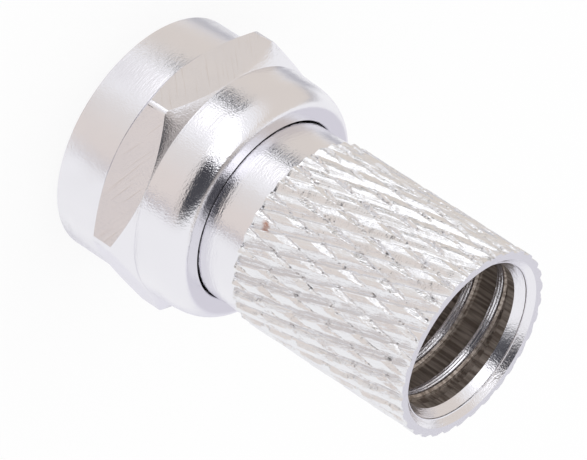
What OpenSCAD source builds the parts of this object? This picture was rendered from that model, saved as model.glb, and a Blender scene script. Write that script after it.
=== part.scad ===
// Twist-on F plug for 7 mm coaxial cable: a captive hex coupling nut that
// spins on a knurled sleeve. The sleeve screws on over the cable jacket, and
// the nut screws on to a 3/8-32 port. Stands on the nut's front face, +Z up.

/* [Coupling nut] */
// Width across the flats of the hex band
hex_flats = 11; // [10.8:0.1:11.4]
// Width across the blunted corners of the hex band
hex_corners = 12.64; // [12.3:0.02:12.66]
// Height at which the hex corners begin
corner_start = 2.97; // [2.8:0.01:3.1]
// Length of the hex corners between the two chamfers
corner_len = 0.86; // [0.6:0.01:1]
// Length of each chamfer that turns the corners down to the round collars
hex_chamfer_len = 0.58; // [0.4:0.01:0.7]
// Diameter of the round collar in front of the hex band
front_collar_d = 10.9; // [10.6:0.1:10.9]
// Diameter of the round collar behind the hex band
rear_collar_d = 10.94; // [10.6:0.02:10.94]
// Height of the nut, from its front face to the rolled lip
nut_h = 6.8; // [6.6:0.1:7.2]
// Diameter at which the rolled rear edge meets the rear face
lip_edge_d = 9.52; // [9.3:0.02:9.8]
// Height at which the rear collar starts to roll over
roll_start = 5.45; // [5.2:0.05:5.6]
// Hole in the lip, which the sleeve's neck turns in
lip_hole_d = 8.36; // [8.32:0.02:8.6]
// Minor diameter of the 3/8-32 thread inside
thread_minor_d = 8.72; // [8.66:0.02:8.86]
// Length of the threaded bore, with its lead-in
thread_len = 4.9; // [4.5:0.1:4.9]
// Diameter of the chamber that holds the sleeve's flange
chamber_d = 9.7; // [9.6:0.02:9.8]
// Height of that chamber
chamber_h = 1.25; // [1.2:0.05:1.35]

/* [Sleeve] */
// Height of the sleeve's rear rim above the nut's front face
total_h = 18; // [17.5:0.1:19]
// Diameter of the flange that the lip holds captive
flange_d = 9.36; // [9.2:0.02:9.4]
// Thickness of the flange
flange_t = 1.05; // [0.9:0.05:1.05]
// Diameter of the smooth neck
neck_d = 8.24; // [8.1:0.02:8.24]
// Height at which the neck ends and the knurl begins
knurl_start = 8.75; // [8.5:0.05:9]
// Hole for the cable's dielectric
dielectric_d = 4.8; // [4.6:0.1:5]
// Height of the floor of the cable cavity
floor_z = 6.3; // [6.2:0.05:6.4]

/* [Knurl] */
// Ridges round the sleeve in each of the two crossing sets
ridges = 32; // [24:1:40]
// Diameter over the crests
crest_d = 8.54; // [8.54:0.02:8.6]
// Depth of the main grooves
groove_depth = 0.16; // [0.08:0.01:0.2]
// Depth of the second set of grooves, which cuts the ridges into scales
cross_depth = 0.11; // [0.05:0.01:0.2]
// Slant of the main ridges off the axis, in degrees
main_slant = 17; // [10:1:25]
// Number of scales along one ridge
scales = 5.75; // [4:0.25:8]

/* [Cable thread] */
// Minor diameter, which bites into the cable jacket
crest_bore_d = 6.72; // [6.6:0.02:6.8]
// Diameter at the root of the groove
root_bore_d = 7.1; // [7:0.02:7.2]
// Diameter of the land behind the mouth
land_d = 6.66; // [6.6:0.02:6.68]
// Distance between turns
cable_pitch = 1.45; // [1.3:0.05:1.6]
// Width of the crest
crest_w = 0.4; // [0.3:0.05:0.5]
// Width of the slope on the mouth side of the crest
slope_w = 0.3; // [0.2:0.05:0.35]
// Number of turns
turns = 6.5; // [5:0.5:6.5]

/* [Cable mouth] */
// Diameter of the mouth at the rear rim
mouth_d = 7.76; // [7.6:0.02:7.8]
// Diameter where the flat first cone meets the steeper second one
mouth_mid_d = 7.22; // [7:0.02:7.3]
// Depth of the first cone
mouth_cone_1 = 0.27; // [0.2:0.01:0.4]
// Depth of the second cone
mouth_cone_2 = 0.42; // [0.3:0.01:0.5]
// Length of the land between the second cone and the thread
land_len = 0.36; // [0.3:0.02:0.6]

/* [Hidden] */
$fn = 96;
plate = [0.83, 0.81, 0.79];
edge = 0.15;               // small turned chamfer on sharp edges
through = 0.5;             // how far a cutting tool runs past a face
hex_start = corner_start - hex_chamfer_len;
hex_end = corner_start + corner_len + hex_chamfer_len;
hex_mid_r = hex_flats / 2;
hex_corner_r = hex_corners / 2;
chamber_top = thread_len + chamber_h;
seat_gap = 0.05;           // running gap under the flange
flange_z = thread_len + seat_gap;
thread_lead = 0.45;        // countersink in front of the nut's thread
steps = 4;                 // mesh columns for each ridge, and mesh rows for each scale
columns = ridges * steps;
rows = round(scales * steps);
knurl_h = total_h - knurl_start;
overrun = 0.2;             // how far the knurl's mesh runs past both ends of the barrel
row_h = (knurl_h + 2 * overrun) / rows;
main_profile = [0, 0.8, 1, 0.8]; // groove, then crest, over one ridge
cross_profile = [0, 0.85, 1, 0.85];
land_top = total_h - mouth_cone_1 - mouth_cone_2;
land_bottom = land_top - land_len;
thread_steps = 36;         // mesh steps for each turn of the cable thread
thread_cuts = turns * thread_steps;
thread_top = land_bottom + 0.05;
thread_phase = 180;        // where the last turn runs into the land
thread_bite = 0.12;        // how far the thread's base is sunk in the wall
back_w = 0.15;             // width of the crest's steep back
fade = thread_steps / 3;   // steps over which the first turn rises
neck_blend = 0.17;         // chamfer where the neck runs in under the knurl

// Hex prism whose corners are turned down by a cone at each end
module hex_band() {
    intersection() {
        translate([0, 0, hex_start])
            cylinder(h = hex_end - hex_start, r = hex_mid_r / cos(30), $fn = 6);
        rotate_extrude()
            polygon([
                [0, hex_start], [hex_mid_r, hex_start],
                [hex_corner_r, corner_start], [hex_corner_r, corner_start + corner_len],
                [hex_mid_r, hex_end], [0, hex_end]
            ]);
    }
}

// The rear collar's edge, rolled over in an arc down to the rear face
function rolled_edge(n = 10) =
    let (r0 = lip_edge_d / 2, r1 = rear_collar_d / 2, z0 = roll_start, z1 = nut_h)
    [for (i = [0:n]) let (a = 90 * i / n)
        [r0 + (r1 - r0) * cos(a), z0 + (z1 - z0) * sin(a)]];

module nut_outside() {
    rotate_extrude()
        polygon(concat(
            [[0, 0], [front_collar_d / 2 - edge, 0], [front_collar_d / 2, edge],
             [front_collar_d / 2, hex_start + edge], [rear_collar_d / 2, hex_end - edge]],
            rolled_edge(),
            [[0, nut_h]]
        ));
    hex_band();
}

module nut_inside() {
    bore_r = thread_minor_d / 2;
    rotate_extrude()
        polygon([
            [0, -through], [bore_r + thread_lead + through, -through],
            [bore_r, thread_lead], [bore_r, thread_len],
            [chamber_d / 2, thread_len], [chamber_d / 2, chamber_top],
            [lip_hole_d / 2, chamber_top], [lip_hole_d / 2, nut_h + through],
            [0, nut_h + through]
        ]);
}

module coupling_nut() {
    color(plate)
        difference() {
            nut_outside();
            nut_inside();
        }
}

// Radius of the knurl at column i and row j. Main grooves run along i, and the
// second set runs where i - j stays the same. Both run out towards the neck.
function knurl_r(i, j) =
    crest_d / 2 - min(j, 1) * max(
        groove_depth * (1 - main_profile[i % steps]),
        cross_depth * (1 - cross_profile[(i + (steps - 1) * j) % steps]));

function knurl_angle(i, j) =
    360 * i / columns - j * row_h * tan(main_slant) / (crest_d / 2) * 180 / PI;

// The knurl: the columns follow the main ridges, and each square is split
// along the second set, so both sets have straight grooves
module knurl() {
    points = [for (j = [0:rows]) for (i = [0:columns - 1])
        let (r = knurl_r(i, j), a = knurl_angle(i, j))
        [r * cos(a), r * sin(a), knurl_start - overrun + j * row_h]];
    sides = [for (j = [0:rows - 1]) for (i = [0:columns - 1])
        let (k = (i + 1) % columns, low = j * columns, high = low + columns)
        each [[low + i, high + i, high + k], [low + i, high + k, low + k]]];
    ends = [[for (i = [0:columns - 1]) i],
            [for (i = [columns - 1:-1:0]) rows * columns + i]];
    polyhedron(points, concat(sides, ends), convexity = 4);
}

// The barrel's ends are turned flat across the knurl
module knurled_barrel() {
    intersection() {
        knurl();
        translate([0, 0, knurl_start])
            cylinder(h = knurl_h, r = crest_d / 2 + edge);
    }
}

// One turned ridge of the cable thread, as a sweep of its four-sided section
module cable_thread() {
    base_r = root_bore_d / 2 + thread_bite;
    points = [for (s = [0:thread_cuts])
        let (a = thread_phase - 360 * (thread_cuts - s) / thread_steps,
             z = thread_top - cable_pitch * (thread_cuts - s) / thread_steps,
             rise = min(1, (s + 1) / fade),
             top_r = base_r - (base_r - crest_bore_d / 2) * rise)
        each [for (p = [[base_r, -crest_w / 2 - back_w], [top_r, -crest_w / 2],
                        [top_r, crest_w / 2], [base_r, crest_w / 2 + slope_w]])
            [p[0] * cos(a), p[0] * sin(a), z + p[1]]]];
    sides = [for (s = [0:thread_cuts - 1]) for (m = [0:3])
        let (k = (m + 1) % 4, low = 4 * s, high = low + 4)
        each [[low + m, high + m, low + k], [low + k, high + m, high + k]]];
    ends = [[0, 1, 2, 3], [for (m = [3:-1:0]) 4 * thread_cuts + m]];
    polyhedron(points, concat(sides, ends), convexity = 8);
}

// Flange and neck, which end just inside the knurled barrel
module flange_and_neck() {
    rotate_extrude()
        polygon([
            [0, flange_z], [flange_d / 2 - edge, flange_z], [flange_d / 2, flange_z + edge],
            [flange_d / 2, flange_z + flange_t], [neck_d / 2, flange_z + flange_t],
            [neck_d / 2, knurl_start + edge / 3],
            [neck_d / 2 - neck_blend, knurl_start + edge / 3 + neck_blend],
            [0, knurl_start + edge / 3 + neck_blend]
        ]);
}

// Dielectric hole, cable cavity, land and the two cones of the mouth
module cable_cavity() {
    rotate_extrude()
        polygon([
            [0, flange_z - through], [dielectric_d / 2, flange_z - through],
            [dielectric_d / 2, floor_z], [root_bore_d / 2, floor_z],
            [root_bore_d / 2, land_bottom], [land_d / 2, land_bottom],
            [land_d / 2, land_top], [mouth_mid_d / 2, total_h - mouth_cone_1],
            [mouth_d / 2, total_h],
            [mouth_d / 2 + through, total_h + through], [0, total_h + through]
        ]);
}

module sleeve() {
    color(plate) {
        difference() {
            union() {
                flange_and_neck();
                knurled_barrel();
            }
            cable_cavity();
        }
        cable_thread();
    }
}

coupling_nut();
sleeve();
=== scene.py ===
from math import atan2, cos, floor, pi, radians, sin, tan

import bmesh
import bpy
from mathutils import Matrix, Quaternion, Vector, noise


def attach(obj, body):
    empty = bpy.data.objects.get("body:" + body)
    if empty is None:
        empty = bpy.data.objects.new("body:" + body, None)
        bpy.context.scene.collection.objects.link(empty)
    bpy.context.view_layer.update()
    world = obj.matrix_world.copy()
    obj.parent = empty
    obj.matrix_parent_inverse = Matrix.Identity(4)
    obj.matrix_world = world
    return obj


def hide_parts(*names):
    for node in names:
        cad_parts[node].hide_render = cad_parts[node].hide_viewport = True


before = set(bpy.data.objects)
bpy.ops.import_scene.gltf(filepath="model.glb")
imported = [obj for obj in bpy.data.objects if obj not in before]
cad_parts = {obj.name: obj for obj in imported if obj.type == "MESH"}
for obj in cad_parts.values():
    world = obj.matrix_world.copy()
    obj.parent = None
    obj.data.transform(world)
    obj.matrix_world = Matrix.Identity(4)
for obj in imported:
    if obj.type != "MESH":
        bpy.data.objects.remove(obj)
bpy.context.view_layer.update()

# ---- Coupling nut -----------------------------------------------------------
# A captive hex nut turned from free-cutting brass bar: a round collar in front
# of and behind a hex band whose corners are chamfered, a 3/8-32 thread inside
# and a rear edge rolled in over the sleeve's flange. Bright nickel plated.
MM = 0.001
HEX_R, CORNER_R = 5.5, 6.4
FRONT_R, REAR_R, LIP_R = 5.45, 5.47, 4.18
THREAD_R, CHAMBER_R = 4.8, 4.85
THREAD_H, CHAMBER_TOP, NUT_H = 4.9, 6.15, 6.8
PORT_PITCH = 0.794
NUT_STEPS = 192


def turned(bm, profile, steps):
    """Spins a closed profile of radius and height, in mm, all the way round +Z.
    A third number, in radians, turns that point of the profile round the axis."""
    points = [bm.verts.new((r * cos(sum(turn)) * MM, r * sin(sum(turn)) * MM, z * MM))
              for r, z, *turn in profile]
    edges = [bm.edges.new(pair) for pair in zip(points, points[1:] + points[:1])]
    bmesh.ops.spin(bm, geom=points + edges, cent=(0, 0, 0), axis=(0, 0, 1),
                   angle=2 * pi, steps=steps, use_merge=True)


def helical_ridge(bm, section, bottom, pitch, turns, steps):
    """Winds a closed section of radius and height, in mm, up +Z from bottom, and
    sinks its two ends into the wall that its first point lies in.
    It is wound by itself, because a spin slows down in a large mesh."""
    coil = bmesh.new()
    verts = [coil.verts.new((r * MM, 0, (bottom + z) * MM)) for r, z in section]
    face = coil.faces.new(verts)
    last = round(turns * steps)
    bmesh.ops.spin(coil, geom=verts + list(face.edges) + [face], cent=(0, 0, 0),
                   axis=(0, 0, 1), dvec=(0, 0, pitch / steps * MM),
                   angle=2 * pi * turns, steps=last)
    wall = section[0][0] * MM
    for count, v in enumerate(coil.verts):
        done = count // len(section)
        rise = min(1, 4 * done / steps, 4 * (last - done) / steps)
        reach = v.co.xy.length
        v.co.xy *= (wall - (wall - reach) * rise) / reach
    wound = bpy.data.meshes.new("wound")
    coil.to_mesh(wound)
    coil.free()
    bm.from_mesh(wound)
    bpy.data.meshes.remove(wound)


def finished(name, bm, smooth_angle):
    """Closes the mesh's seams, points its faces outwards and makes the piece."""
    bmesh.ops.remove_doubles(bm, verts=bm.verts, dist=1e-7)
    bmesh.ops.recalc_face_normals(bm, faces=bm.faces)
    for edge in bm.edges:
        edge.smooth = edge.smooth and edge.calc_face_angle(0) < radians(smooth_angle)
    mesh = bpy.data.meshes.new(name)
    bm.to_mesh(mesh)
    bm.free()
    piece = bpy.data.objects.new(name, mesh)
    bpy.context.scene.collection.objects.link(piece)
    return piece


def eased(t):
    """A soft step from 0 to 1."""
    t = min(max(t, 0), 1)
    return t * t * (3 - 2 * t)


def rear_edge(rim_r, roll_start):
    """The rear collar draws in a little before it rolls over in a quarter arc."""
    straight = [(REAR_R, roll_start - 0.95 + 0.05 * i) for i in range(19)]
    arc = [(rim_r + (REAR_R - rim_r) * cos(pi / 2 * i / 24),
            roll_start + (NUT_H - roll_start) * sin(pi / 2 * i / 24)) for i in range(25)]
    return [(r - 0.04 * eased(z - roll_start + 0.9), z) for r, z in straight + arc]


nut = bmesh.new()
turned(nut, [(5.02, 0), (5.41, 0), (5.44, 0.015), (FRONT_R, 0.05),
             (FRONT_R, 2.34), (5.41, 2.36), (5.41, 2.4), (5.52, 2.4), (CORNER_R, 3.0),
             (CORNER_R, 3.8), (5.52, 4.4), (REAR_R, 4.43), *rear_edge(4.76, 5.45),
             (LIP_R + 0.04, NUT_H), (LIP_R, NUT_H - 0.04), (LIP_R, CHAMBER_TOP),
             (CHAMBER_R, CHAMBER_TOP), (CHAMBER_R, THREAD_H), (THREAD_R, THREAD_H),
             (THREAD_R, 0.22)], NUT_STEPS)
for side in range(6):
    across = Vector((cos(radians(30 + 60 * side)), sin(radians(30 + 60 * side)), 0))
    cut = bmesh.ops.bisect_plane(nut, geom=nut.verts[:] + nut.edges[:] + nut.faces[:],
                                 dist=1e-7, plane_co=across * HEX_R * MM,
                                 plane_no=across, clear_outer=True)
    rim = [e for e in cut["geom_cut"] if isinstance(e, bmesh.types.BMEdge)]
    bmesh.ops.contextual_create(nut, geom=rim)
nut.normal_update()
# A flat is the only kind of face with many corners. The upright edges between
# flats wear rounder than the arcs where the chamfers meet them.
MANY = 12
for offset, upright in ((0.16, True), (0.04, False)):
    edges = [e for e in nut.edges
             if any(len(f.verts) > MANY for f in e.link_faces)
             and (abs(e.verts[0].co.z - e.verts[1].co.z) > 0.9 * e.calc_length()) == upright]
    bmesh.ops.bevel(nut, geom=edges, offset=offset * MM, offset_type="OFFSET",
                    segments=3, profile=0.5, affect="EDGES", clamp_overlap=True, material=-1)
TURNED, FLAT, SCUFFED = 0, 1, 2
for f in nut.faces:
    f.smooth = len(f.verts) <= MANY
    on_front = f.smooth and f.calc_center_median().z < 2.34 * MM
    f.material_index = SCUFFED if on_front else TURNED if f.smooth else FLAT
helical_ridge(nut, [(4.83, -0.36), (4.36, -0.06), (4.36, 0.06), (4.83, 0.36)],
              0.85, PORT_PITCH, 4.5, 72)
coupling_nut = finished("hex_coupling_nut", nut, 40)


def linear(hex_colour):
    """An sRGB hex colour as the linear RGBA that sockets take."""
    parts = [int(hex_colour[i:i + 2], 16) / 255 for i in (0, 2, 4)]
    return [c / 12.92 if c <= 0.04045 else ((c + 0.055) / 1.055) ** 2.4 for c in parts] + [1]


def add(tree, kind, settings, inputs):
    """Adds a node; each input is a value or another node's output socket."""
    made = tree.nodes.new("ShaderNode" + kind)
    for name, value in settings.items():
        setattr(made, name, value)
    for name, value in inputs.items():
        if isinstance(value, bpy.types.NodeSocket):
            tree.links.new(value, made.inputs[name])
        else:
            made.inputs[name].default_value = value
    return made


def blank_material(name):
    """A material with only its Principled shader, its tree and object coordinates."""
    made = bpy.data.materials.new(name)
    made.use_nodes = True
    tree = made.node_tree
    place = add(tree, "TexCoord", {}, {}).outputs["Object"]
    return made, tree, tree.nodes["Principled BSDF"], place


NICKEL = linear("EAE9EE")


def plate(tree, shader, grain, depth, low, high):
    """Nickel over a streaky ground: grain counts streaks, depth is theirs in mm,
    and the gloss drifts between two roughnesses in patches of about a millimetre."""
    place = add(tree, "TexCoord", {}, {}).outputs["Object"]
    streaks = add(tree, "TexNoise", {}, {"Vector": grain, "Scale": 1, "Detail": 3, "Roughness": 0.6})
    pitted = add(tree, "TexNoise", {}, {"Vector": place, "Scale": 1 / (0.075 * MM), "Detail": 2})
    cloud = add(tree, "TexNoise", {}, {"Vector": place, "Scale": 1 / (1.1 * MM), "Detail": 4})
    rough = add(tree, "MapRange", {},
                {"Value": cloud.outputs["Fac"], "From Min": 0.3, "From Max": 0.7,
                 "To Min": low, "To Max": high})
    fine = add(tree, "Bump", {}, {"Height": pitted.outputs["Fac"], "Distance": depth * 0.7 * MM})
    bump = add(tree, "Bump", {}, {"Height": streaks.outputs["Fac"], "Distance": depth * MM,
                                  "Normal": fine.outputs[0]})
    tree.links.new(rough.outputs[0], shader.inputs["Roughness"])
    tree.links.new(bump.outputs[0], shader.inputs["Normal"])
    shader.inputs["Base Color"].default_value = NICKEL
    shader.inputs["Metallic"].default_value = 1


# Bright nickel over fine turning lines, which run round the axis in short
# streaks drawn 0.1 mm apart and feather the edges of what the plate mirrors
turned_nickel, tree, shader, place = blank_material("bright_nickel_plate_on_turned_brass")
split = add(tree, "SeparateXYZ", {}, {0: place})
flat_place = add(tree, "VectorMath", {"operation": "MULTIPLY"}, {0: place, 1: (1, 1, 0)})
radius = add(tree, "VectorMath", {"operation": "LENGTH"}, {0: flat_place.outputs[0]})
along = add(tree, "Math", {"operation": "ADD"}, {0: split.outputs["Z"], 1: radius.outputs["Value"]})
round_axis = add(tree, "CombineXYZ", {}, {0: split.outputs["X"], 1: split.outputs["Y"],
                                          2: along.outputs[0]})
grain = add(tree, "VectorMath", {"operation": "MULTIPLY"},
            {0: round_axis.outputs[0], 1: (1 / (0.9 * MM), 1 / (0.9 * MM), 1 / (0.11 * MM))})
plate(tree, shader, grain.outputs[0], 0.013, 0.08, 0.2)
coupling_nut.data.materials.append(turned_nickel)

# The flats come from the hex bar itself: smoother, with fine handling scratches
flat_nickel, tree, shader, place = blank_material("bright_nickel_plate_on_drawn_hex_flats")
tilted = add(tree, "VectorRotate", {"rotation_type": "EULER_XYZ"},
             {"Vector": place, "Rotation": (0.7, 0.5, 0.2)})
grain = add(tree, "VectorMath", {"operation": "MULTIPLY"},
            {0: tilted.outputs[0], 1: (1 / (0.05 * MM), 1 / (2.2 * MM), 1 / (2.2 * MM))})
plate(tree, shader, grain.outputs[0], 0.005, 0.14, 0.2)
scratches = add(tree, "TexNoise", {}, {"Vector": grain.outputs[0], "Scale": 1, "Detail": 4})
scored = add(tree, "MapRange", {}, {"Value": scratches.outputs["Fac"], "From Min": 0.58, "From Max": 0.75,
                                    "To Max": 0.3})
grey = add(tree, "Mix", {"data_type": "RGBA"},
           {"Factor": scored.outputs[0], 6: NICKEL, 7: linear("CDBFB4")})
tree.links.new(grey.outputs[2], shader.inputs["Base Color"])
coupling_nut.data.materials.append(flat_nickel)

# The front collar and the mouth of the sleeve take the knocks: the same turned
# plate, scuffed and less glossy, so highlights are weaker and break into strokes
scuffed_nickel, tree, shader, place = blank_material("scuffed_nickel_plate_on_turned_brass")
grain = add(tree, "VectorMath", {"operation": "MULTIPLY"},
            {0: place, 1: (1 / (0.5 * MM), 1 / (0.5 * MM), 1 / (0.09 * MM))})
plate(tree, shader, grain.outputs[0], 0.014, 0.12, 0.26)
coupling_nut.data.materials.append(scuffed_nickel)
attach(coupling_nut, "nut")
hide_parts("coupling_nut")

# ---- Sleeve -----------------------------------------------------------------
# One turned brass piece: a flange that the nut's lip holds, a smooth neck and
# a barrel rolled with two crossing sets of knurl ridges, which tear into
# scales where they meet. A coarse thread inside bites into the cable jacket.
RIDGES = 32
STEPS = 20
ROWS = 110
CREST_R = 4.27
KNURL_START, TOTAL_H = 8.75, 18.0
FLANGE_R, NECK_R, DIELECTRIC_R = 4.68, 4.12, 2.4
BORE_R, LAND_R, MOUTH_R = 3.55, 3.33, 3.88
FLANGE_Z, FLANGE_TOP = 4.95, 6.0
FLOOR_Z, LAND_Z, CONE_Z = 6.3, 16.9, 17.31
CABLE_PITCH, CABLE_TURNS = 1.45, 6.5
PHASE_Z = 8.55
MAIN_SLANT = tan(radians(17)) / CREST_R
SCALE_LEN = STEPS * (TOTAL_H - KNURL_START) / ROWS
MAIN_DEPTH, CROSS_DEPTH = 0.18, 0.16


def ridge_phases(x, y, z):
    """Counts the main ridges and the second set past a point, both in ridges."""
    main = RIDGES / (2 * pi) * (atan2(y, x) + (z - PHASE_Z) * MAIN_SLANT)
    return main, main - (z - PHASE_Z) / SCALE_LEN


# The mesh of the barrel is turned along with its main ridges, and each of its
# squares is split along the second set, so both have straight edges
sleeve = bmesh.new()
heights = [KNURL_START + (TOTAL_H - KNURL_START) * j / ROWS for j in range(ROWS + 1)]
barrel = [(CREST_R, z, (KNURL_START - z) * MAIN_SLANT) for z in heights]
TURN = barrel[-1][2]
mouth = [(MOUTH_R, TOTAL_H), (3.64, 17.76), (3.59, 17.74), (3.58, 17.69), (LAND_R, CONE_Z),
         (LAND_R, LAND_Z + 0.05), (BORE_R, LAND_Z), (BORE_R, FLOOR_Z)]
flange_and_neck = [(DIELECTRIC_R, FLANGE_Z), (FLANGE_R - 0.1, FLANGE_Z), (FLANGE_R, FLANGE_Z + 0.1),
                   (FLANGE_R, FLANGE_TOP - 0.05), (FLANGE_R - 0.05, FLANGE_TOP),
                   (NECK_R + 0.05, FLANGE_TOP), (NECK_R, FLANGE_TOP + 0.05), (NECK_R, KNURL_START)]
turned(sleeve, [*flange_and_neck, *barrel, *[(r, z, TURN) for r, z in mouth],
                (DIELECTRIC_R, FLOOR_Z)], RIDGES * STEPS)
for e in sleeve.edges:
    a, b = (v.co / MM for v in e.verts)
    if abs(a.z - b.z) < 0.001 and a.z > 17 and a.xy.length < MOUTH_R + 0.02:
        e.smooth = False
on_barrel = [f for f in sleeve.faces if all(v.co.xy.length > (CREST_R - 0.01) * MM for v in f.verts)]
bmesh.ops.triangulate(sleeve, faces=on_barrel, quad_method="SHORT_EDGE")
# A per-vertex amount of painted shade, for the pits and chips where the grooves cross
tear_shade = sleeve.verts.layers.float.new("tear_shade")
for v in sleeve.verts:
    x, y, z = here = v.co / MM
    if here.xy.length < CREST_R - 0.01:
        continue
    wander = 0.07 * noise.noise(here * 1.1)
    ragged = noise.noise(here * 5.0)
    main, cross = (phase + wander for phase in ridge_phases(x, y, z))
    cross += 0.07 * ragged
    # The second set bites to its own depth in every scale
    bite = 0.6 + 0.4 * abs(noise.cell(Vector((floor(main), floor(cross + 0.5), 0.5)) * 3.7))
    part, cross_part = main - floor(main), cross - floor(cross)
    main_cut = MAIN_DEPTH * (1 - min(part / 0.12, 1) * eased((0.98 - part) / 0.56)) + 0.03 * part
    cross_cut = CROSS_DEPTH * bite * max(1 - cross_part / 0.33, 1 - (1 - cross_part) / 0.12)
    # Where the two sets cross the metal tears, and chips break off their edges
    tear = noise.noise(here * 3.1 + Vector((9, 0, 0))) + 0.6 * ragged
    beside = min(cross_part, 1 - cross_part)
    pit = (max(0, 1 - min(part, 1 - part) / 0.1) * max(0, 1 - beside / 0.16)
           * eased(tear * 3 + 0.2))
    chip = max(0, 1 - beside / 0.06) * eased(noise.noise(here * 4.3) * 6 - 1.3)
    # Painted shade: this amount darkens the colour in the pits and chips, where shade falls
    v[tear_shade] = min(1, 0.8 * pit + chip)
    scar = max(0, 1 - beside / 0.3) * eased(tear * 2 + 0.4) * noise.noise(here * 8.0)
    # Both sets run out at the neck and are half turned away at the rim
    run_in = min(1, 0.85 + (z - KNURL_START) / 0.3) * (1 - 0.45 * eased((z - 17.4) / 0.6))
    fold = 0.012 * noise.noise(Vector((main * 4.5, cross * 0.7, 0)))
    groove = (max(main_cut, cross_cut) + 0.025 * pit + 0.03 * chip) * run_in
    depth = groove + fold + 0.011 * ragged + 0.035 * scar
    v.co.xy *= 1 - max(0, depth) / CREST_R
helical_ridge(sleeve, [(3.62, -0.36), (3.37, -0.2), (3.39, -0.14), (3.36, -0.08), (3.39, -0.02),
                       (3.36, 0.04), (3.39, 0.1), (3.37, 0.2), (3.45, 0.3), (3.44, 0.33),
                       (3.62, 0.42)], 7.575, CABLE_PITCH, CABLE_TURNS, 96)
ROLLED, BORE, WORN = 1, 2, 3
for f in sleeve.faces:
    reach, z = f.calc_center_median().xy.length / MM, f.calc_center_median().z / MM
    if z > KNURL_START and reach > MOUTH_R + 0.02:
        f.material_index = ROLLED
    elif z > CONE_Z and LAND_R < reach < MOUTH_R:
        f.material_index = WORN
    elif FLOOR_Z < z < LAND_Z and 3.4 < reach < 3.7 or LAND_Z < z < CONE_Z and reach < LAND_R + 0.02:
        f.material_index = BORE
cable_sleeve = finished("knurled_sleeve", sleeve, 35)
cable_sleeve.data.materials.append(turned_nickel)

# The same plate on the rolled barrel: the rolls leave streaks along the main
# ridges, and where the grooves cross, painted shade darkens the pits they tear
rolled_nickel, tree, shader, place = blank_material("bright_nickel_plate_on_rolled_knurl")
split = add(tree, "SeparateXYZ", {}, {0: place})
lead = add(tree, "Math", {"operation": "MULTIPLY"}, {0: split.outputs["Z"], 1: MAIN_SLANT / MM})
unwound = add(tree, "VectorRotate", {"rotation_type": "Z_AXIS"}, {"Vector": place, "Angle": lead.outputs[0]})
grain = add(tree, "VectorMath", {"operation": "MULTIPLY"},
            {0: unwound.outputs[0], 1: (1 / (0.09 * MM), 1 / (0.09 * MM), 1 / (1.3 * MM))})
plate(tree, shader, grain.outputs[0], 0.016, 0.1, 0.22)
# Painted shade: the pits and chips are darkened towards 4C443E, broken up in crumbs
pits = add(tree, "Attribute", {"attribute_name": "tear_shade"}, {})
crumbs = add(tree, "TexNoise", {}, {"Vector": place, "Scale": 1 / (0.12 * MM), "Detail": 3})
broken = add(tree, "MapRange", {}, {"Value": crumbs.outputs["Fac"], "From Min": 0.45, "From Max": 0.6})
painted_tear_shade = add(tree, "Math", {"operation": "MULTIPLY"}, {0: pits.outputs["Fac"], 1: broken.outputs[0]})
pit_shaded_colour = add(tree, "Mix", {"data_type": "RGBA"},
           {"Factor": painted_tear_shade.outputs[0], 6: linear("EBEBEE"), 7: linear("4C443E")})
# One speck is bare, down to the copper flash under the nickel
spot = Vector((-4.01, -1.26, 9.36)) * MM
away = add(tree, "VectorMath", {"operation": "DISTANCE"}, {0: place, 1: spot})
ring = add(tree, "MapRange", {}, {"Value": away.outputs["Value"], "From Min": 0.26 * MM,
                                  "From Max": 0.05 * MM, "To Max": 1.9})
bare = add(tree, "Math", {"operation": "MULTIPLY", "use_clamp": True},
           {0: ring.outputs[0], 1: crumbs.outputs["Fac"]})
copper = add(tree, "Mix", {"data_type": "RGBA"},
             {"Factor": bare.outputs[0], 6: pit_shaded_colour.outputs[2], 7: linear("A8622E")})
tree.links.new(copper.outputs[2], shader.inputs["Base Color"])
cable_sleeve.data.materials.append(rolled_nickel)

# Deep in the bore the plate is thin and brownish, and the tap has left fine
# stripes along the axis, drawn 0.15 mm apart
bore_nickel, tree, shader, place = blank_material("thin_dull_nickel_in_the_bore")
grain = add(tree, "VectorMath", {"operation": "MULTIPLY"},
            {0: place, 1: (1 / (0.15 * MM), 1 / (0.15 * MM), 1 / (2.5 * MM))})
plate(tree, shader, grain.outputs[0], 0.01, 0.3, 0.5)
shader.inputs["Metallic"].default_value = 0.7
stripes = add(tree, "TexNoise", {}, {"Vector": grain.outputs[0], "Scale": 1, "Detail": 2})
stain = add(tree, "MapRange", {}, {"Value": stripes.outputs["Fac"], "From Min": 0.4, "From Max": 0.6})
brown = add(tree, "Mix", {"data_type": "RGBA"},
            {"Factor": stain.outputs[0], 6: linear("8A7E75"), 7: linear("C2B7AE")})
tree.links.new(brown.outputs[2], shader.inputs["Base Color"])
cable_sleeve.data.materials.append(bore_nickel)
cable_sleeve.data.materials.append(scuffed_nickel)
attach(cable_sleeve, "plug_body")
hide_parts("sleeve")

# ---- Studio -----------------------------------------------------------------
# The plug stands on a white table top, which takes its soft shadow, inside a
# tent of white cloth. The light is even, and only the plate mirrors the tent.
stage_mesh = bmesh.new()
bmesh.ops.create_circle(stage_mesh, cap_ends=True, radius=0.6, segments=96)
floor_mesh = bpy.data.meshes.new("floor")
stage_mesh.to_mesh(floor_mesh)
stage_mesh.free()
floor_piece = bpy.data.objects.new("floor", floor_mesh)
bpy.context.scene.collection.objects.link(floor_piece)
paper, tree, shader, _ = blank_material("white_studio_floor")
shader.inputs["Base Color"].default_value = linear("FCFCFC")
shader.inputs["Roughness"].default_value = 0.9
shader.inputs["Specular IOR Level"].default_value = 0
light_path = add(tree, "LightPath", {}, {})
glow = add(tree, "Emission", {}, {"Color": (1, 1, 1, 1), "Strength": 1.0})
part = add(tree, "Math", {"operation": "MULTIPLY"}, {0: light_path.outputs["Is Camera Ray"], 1: 0.82})
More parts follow.
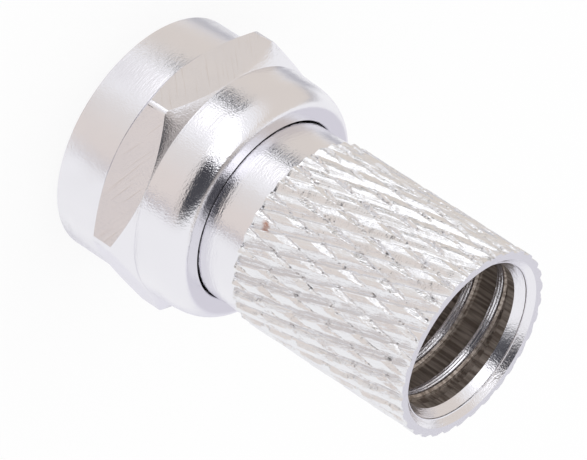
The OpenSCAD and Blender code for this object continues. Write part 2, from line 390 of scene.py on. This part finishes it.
both = add(tree, "MixShader", {}, {0: part.outputs[0], 1: shader.outputs[0], 2: glow.outputs[0]})
tree.links.new(both.outputs[0], tree.nodes["Material Output"].inputs["Surface"])
floor_piece.visible_glossy = False
floor_mesh.materials.append(paper)

camera = bpy.data.objects.new("camera", bpy.data.cameras.new("camera"))
bpy.context.scene.collection.objects.link(camera)
camera.data.sensor_width = 36
camera.data.lens = 306.6
camera.data.clip_start = 0.01
AIM = Vector((0.0, -0.08, 8.3)) * MM
AZIMUTH, ELEVATION, ROLL = radians(-170.17), radians(28.83), radians(123.12)
back = Vector((cos(AZIMUTH) * cos(ELEVATION), sin(AZIMUTH) * cos(ELEVATION), sin(ELEVATION)))
camera.rotation_mode = "QUATERNION"
camera.rotation_quaternion = back.to_track_quat("Z", "Y") @ Quaternion((0, 0, 1), ROLL)
camera.location = AIM + back * 204.6 * MM
bpy.context.scene.camera = camera

# The white tent round the plug, as its plate mirrors it: each panel is soft
# edged and lies between two bearings and two elevations, in degrees. Bearings
# are counted from the camera and run from -260 to 100, clear of every edge.
PANELS = [
    # bearings, softness, elevations, softness, colour, strength
    (-128, -72, 8, 22, -70, 58, 14, "E8E0D7", 1.0),
    (-133, -127, 4, 6, -22, 24, 10, "B4B4BA", 1.0),
    (-152, -134, 8, 8, -40, -20, 8, "BAB9C0", 1.0),
    (-170, -150, 10, 10, -54, -36, 10, "C8C8CF", 1.0),
    (-210, -165, 20, 20, -60, 70, 20, "EFEEF4", 1.0),
    (-12, 49, 14, 6, -70, 12, 40, "EFEBE7", 1.0),
    (10, 49, 30, 6, -70, 12, 40, "EEE5DE", 1.0),
    (45, 50, 2, 3, -45, -5, 16, "A8A2AB", 1.0),
    (-200, -160, 14, 14, 10, 50, 16, "E2E0E7", 1.0),
    (-195, -165, 6, 6, -70, -35, 6, "8E8985", 1.0),
    (-264, 104, 2, 2, 66, 130, 12, "D2CBC5", 1.0),
    (-36, 50, 10, 16, 62, 80, 12, "7A736E", 1.0),
    (-10, 46, 8, 20, 1, 75, 14, "48484D", 1.0),
    (-264, 104, 2, 2, 80, 130, 12, "A8A3A0", 1.0),
    (-264, 104, 2, 2, -130, -70, 12, "6E6965", 1.0),
    (-73, -57, 9, 5, -30, -18, 5, "47474B", 1.0),
    (-52, -28, 7, 20, -80, 4, 8, "F4F2F3", 1.0),
    (-52, -28, 7, 20, -29.5, 4, 4, "FFFFFF", 1.5),
    (-47, -12, 8, 5, -4, 63, 8, "FFFFFF", 1.5),
]
world = bpy.data.worlds.new("white_light_tent")
world.use_nodes = True
tree = world.node_tree
direction = add(tree, "SeparateXYZ", {}, {0: add(tree, "TexCoord", {}, {}).outputs["Generated"]})
bearing = add(tree, "Math", {"operation": "ARCTAN2"},
              {0: direction.outputs["Y"], 1: direction.outputs["X"]})
from_camera = add(tree, "Math", {"operation": "SUBTRACT"}, {0: bearing.outputs[0], 1: AZIMUTH})
bearing = add(tree, "Math", {"operation": "WRAP"},
              {0: from_camera.outputs[0], 1: radians(100), 2: radians(-260)})
height = add(tree, "Math", {"operation": "ARCSINE"}, {0: direction.outputs["Z"]})


def between(value, low, high, soft_low, soft_high):
    """1 where a node's value lies between two angles, with an edge of so many degrees."""
    rise = add(tree, "MapRange", {"interpolation_type": "SMOOTHSTEP"},
               {"Value": value, "From Min": radians(low - soft_low / 2),
                "From Max": radians(low + soft_low / 2)})
    fall = add(tree, "MapRange", {"interpolation_type": "SMOOTHSTEP"},
               {"Value": value, "From Min": radians(high + soft_high / 2),
                "From Max": radians(high - soft_high / 2)})
    return add(tree, "Math", {"operation": "MULTIPLY"}, {0: rise.outputs[0], 1: fall.outputs[0]}).outputs[0]


tent = (1, 1, 1, 1)
for left, right, soft_left, soft_right, bottom, top, soft_ends, colour, strength in PANELS:
    inside = add(tree, "Math", {"operation": "MULTIPLY"},
                 {0: between(bearing.outputs[0], left, right, soft_left, soft_right),
                  1: between(height.outputs[0], bottom, top, soft_ends, soft_ends)})
    bright = [c * strength for c in linear(colour)[:3]] + [1]
    tent = add(tree, "Mix", {"data_type": "RGBA"},
               {"Factor": inside.outputs[0], 6: tent, 7: bright}).outputs[2]
light_path = add(tree, "LightPath", {}, {})
shown = add(tree, "Mix", {"data_type": "RGBA"},
            {"Factor": light_path.outputs["Is Glossy Ray"], 6: (1, 1, 1, 1), 7: tent})
tree.links.new(shown.outputs[2], tree.nodes["Background"].inputs["Color"])
bpy.context.scene.world = world
bpy.context.scene.view_settings.view_transform = "Standard"
